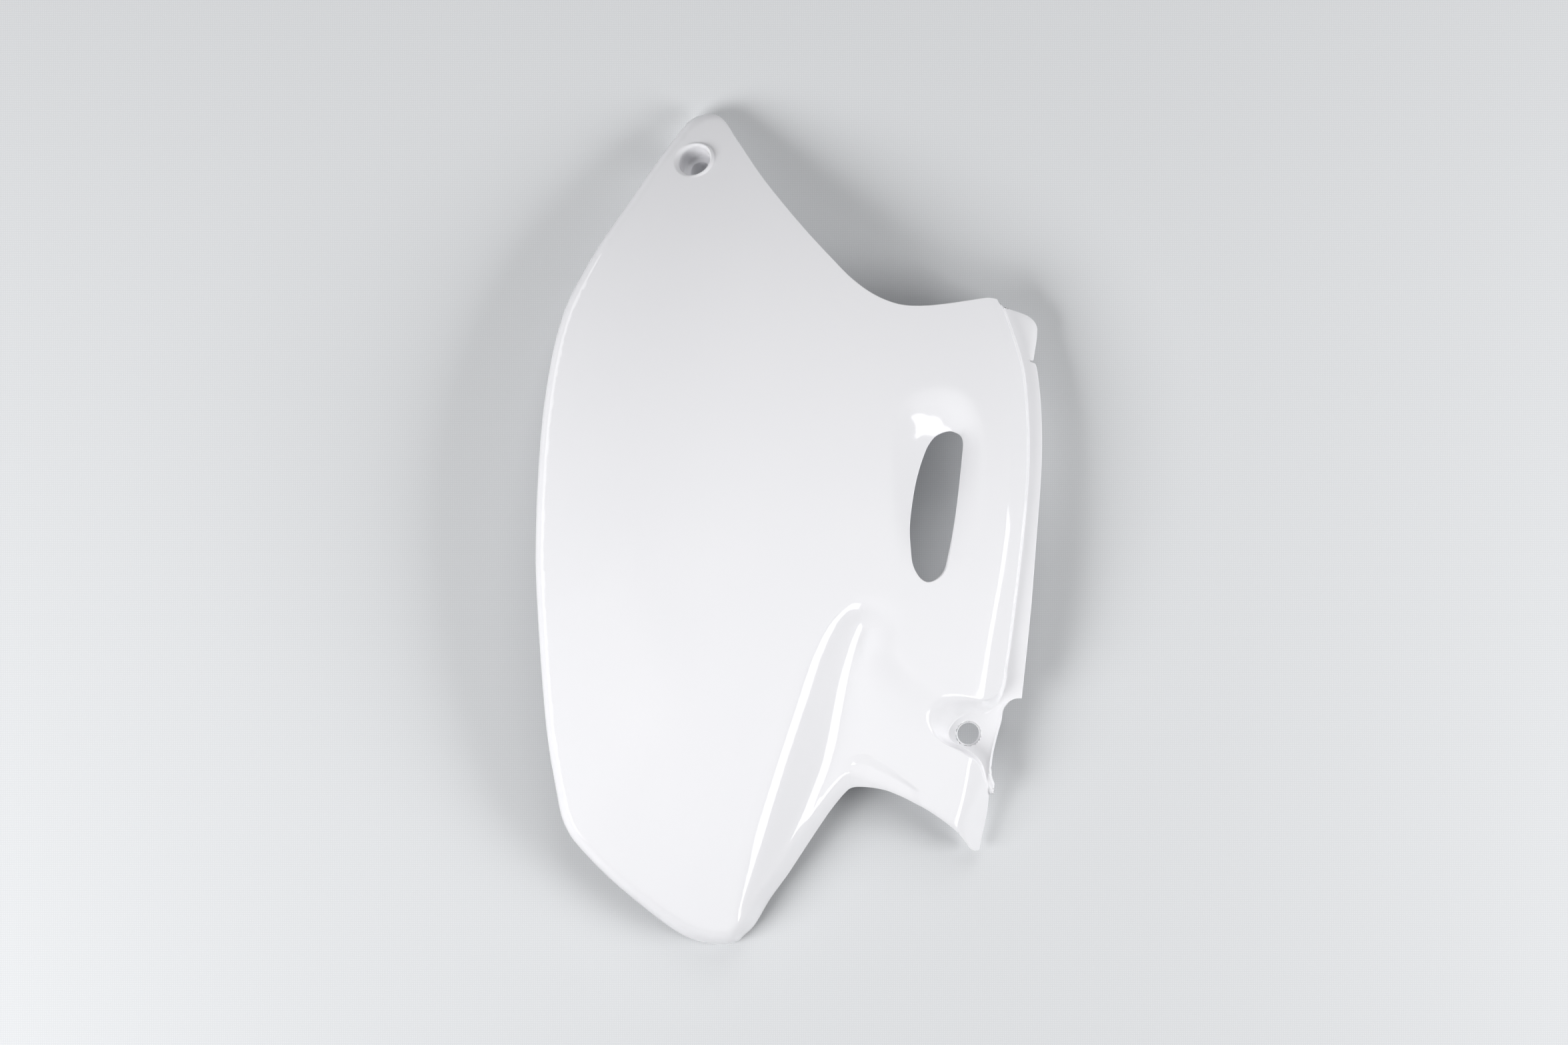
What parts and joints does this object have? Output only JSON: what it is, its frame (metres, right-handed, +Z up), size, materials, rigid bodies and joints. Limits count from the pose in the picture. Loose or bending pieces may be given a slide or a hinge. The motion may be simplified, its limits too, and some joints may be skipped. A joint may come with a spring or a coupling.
{
  "type": "fuel tank side panel",
  "caption": "Thin moulded side panel of a motorbike fuel tank, crowned, with a vent slot, a stepped flange, a screw cup and a screw tab.",
  "frame": {"origin": "under the middle of the panel's box, on the face that the panel lies on", "axes": "+Y along the panel to the tip with the screw cup, +X across it to the stepped flange, +Z up, the way the outer face looks"},
  "size_m": [0.282, 0.47, 0.0785],
  "materials": {
    "panel": "glossy, moulded in colour"
  },
  "bodies": {
    "root": {"side_panel": "panel"}
  },
  "joints": []
}
